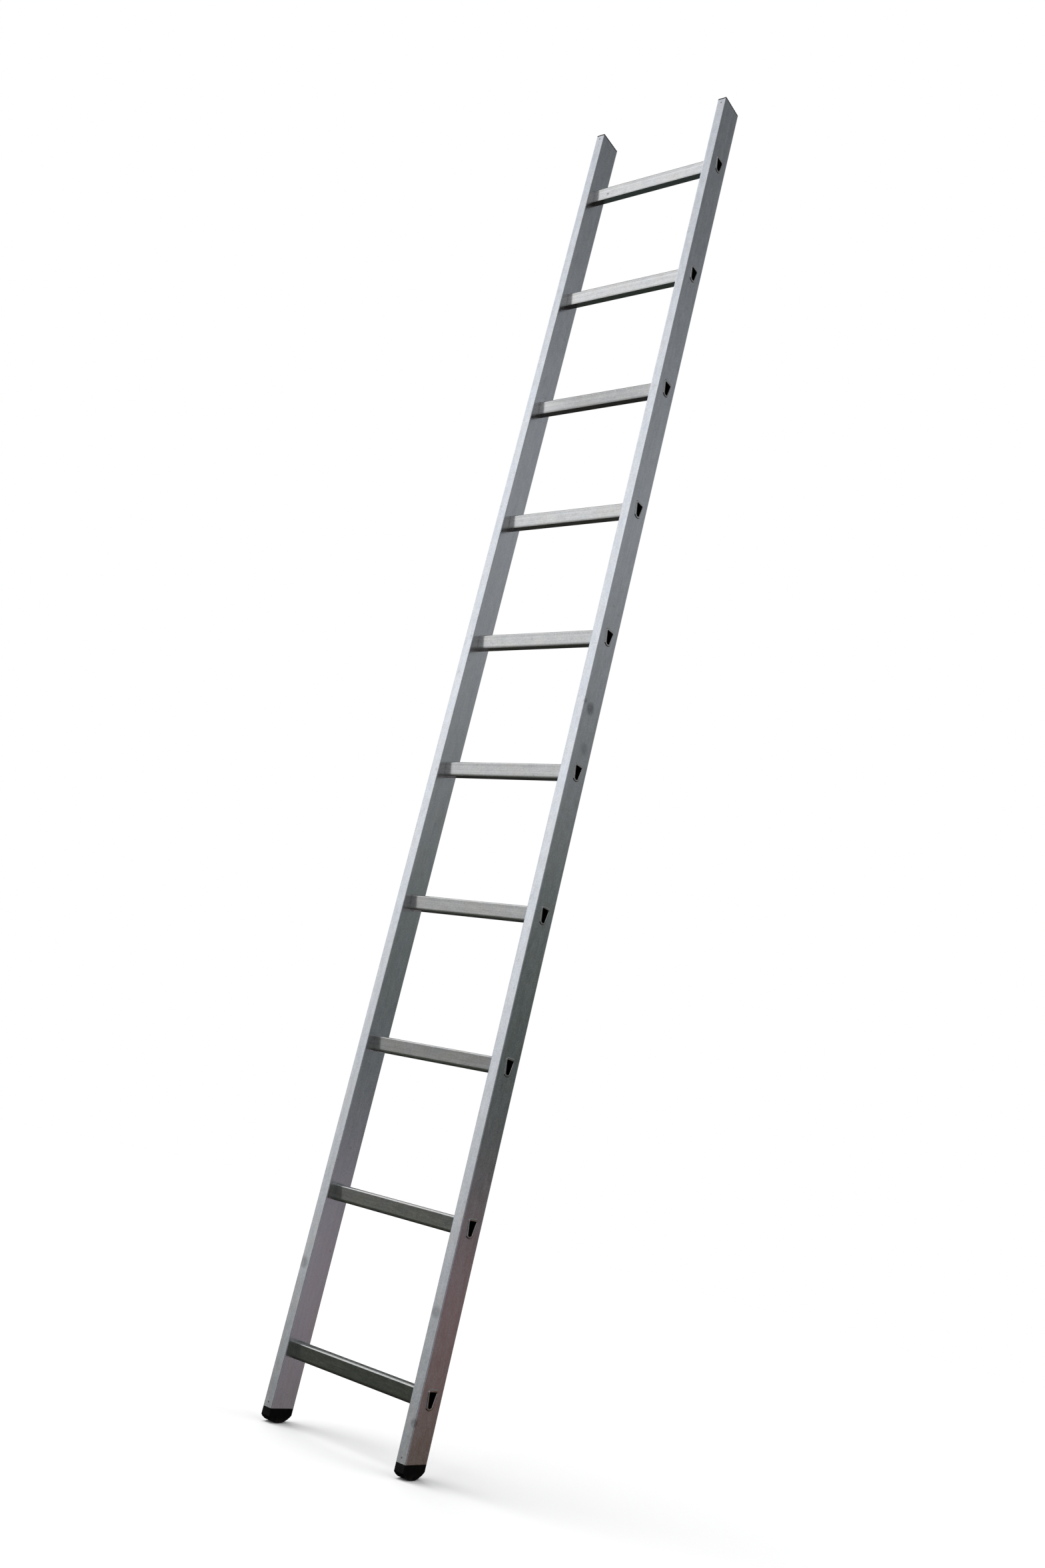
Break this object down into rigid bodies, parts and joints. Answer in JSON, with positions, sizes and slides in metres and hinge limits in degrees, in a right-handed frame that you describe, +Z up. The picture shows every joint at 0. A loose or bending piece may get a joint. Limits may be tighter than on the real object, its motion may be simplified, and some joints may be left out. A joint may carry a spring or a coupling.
{
  "type": "ladder",
  "caption": "Single-section aluminium leaning ladder: box-section stiles, hollow flat-topped rungs, rounded rubber feet and plastic end caps.",
  "frame": {"origin": "the soles' lowest level, midway between the stiles and midway through their depth", "axes": "+Z up the stiles, X along the rungs, -Y the front that a climber faces, +Y the back that rests on a wall"},
  "size_m": [0.339, 0.0588, 2.8043],
  "materials": {
    "stile_aluminium": "mill-finish extrusion, satin, with fine lengthwise grain",
    "rung_aluminium": "mill-finish extrusion, satin, with fine lengthwise grain",
    "foot_rubber": "moulded black rubber, matt",
    "cap_plastic": "moulded black plastic, matt",
    "pin_steel": "dull steel"
  },
  "bodies": {
    "root": {"stile_left": "stile_aluminium", "stile_right": "stile_aluminium", "rung_01": "rung_aluminium", "rung_02": "rung_aluminium", "rung_03": "rung_aluminium", "rung_04": "rung_aluminium", "rung_05": "rung_aluminium", "rung_06": "rung_aluminium", "rung_07": "rung_aluminium", "rung_08": "rung_aluminium", "rung_09": "rung_aluminium", "rung_10": "rung_aluminium", "foot_left": "foot_rubber", "foot_right": "foot_rubber", "end_cap_left": "cap_plastic", "end_cap_right": "cap_plastic", "drive_pins": "pin_steel"}
  },
  "joints": []
}
